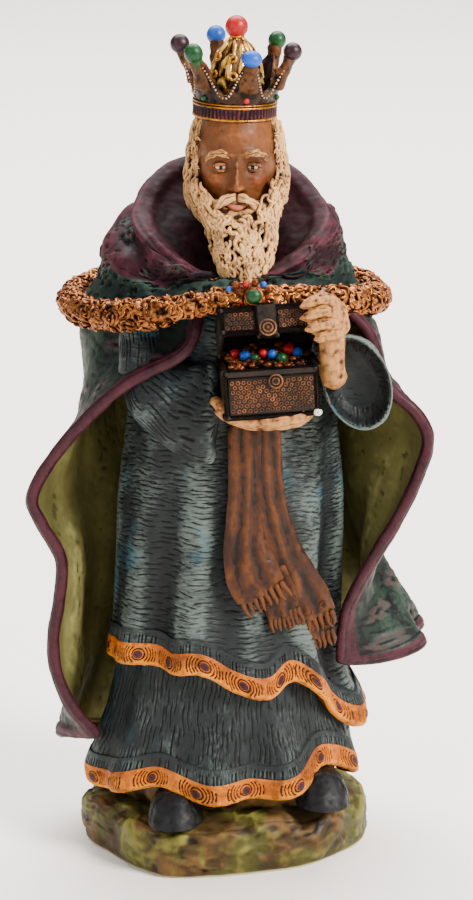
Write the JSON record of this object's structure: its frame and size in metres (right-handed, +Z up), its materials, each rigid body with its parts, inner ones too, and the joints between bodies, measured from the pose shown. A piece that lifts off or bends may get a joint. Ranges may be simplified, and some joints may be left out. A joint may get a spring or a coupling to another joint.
{
  "type": "nativity wise man figurine",
  "caption": "Crowned, bearded wise man in layered robes and an open cloak, holding a half-open treasure chest, on a turf mound.",
  "frame": {"origin": "middle of the mound's flat underside, where it rests on the shelf", "axes": "+Z up through the crown, -Y the way the figure faces, +X towards the viewer's right"},
  "size_m": [0.1184, 0.0926, 0.25],
  "materials": {
    "painted_resin": "hand-painted matte acrylic with dark washes and light dry-brushing"
  },
  "bodies": {
    "root": {"wise_man_figurine": "painted_resin"}
  },
  "joints": []
}
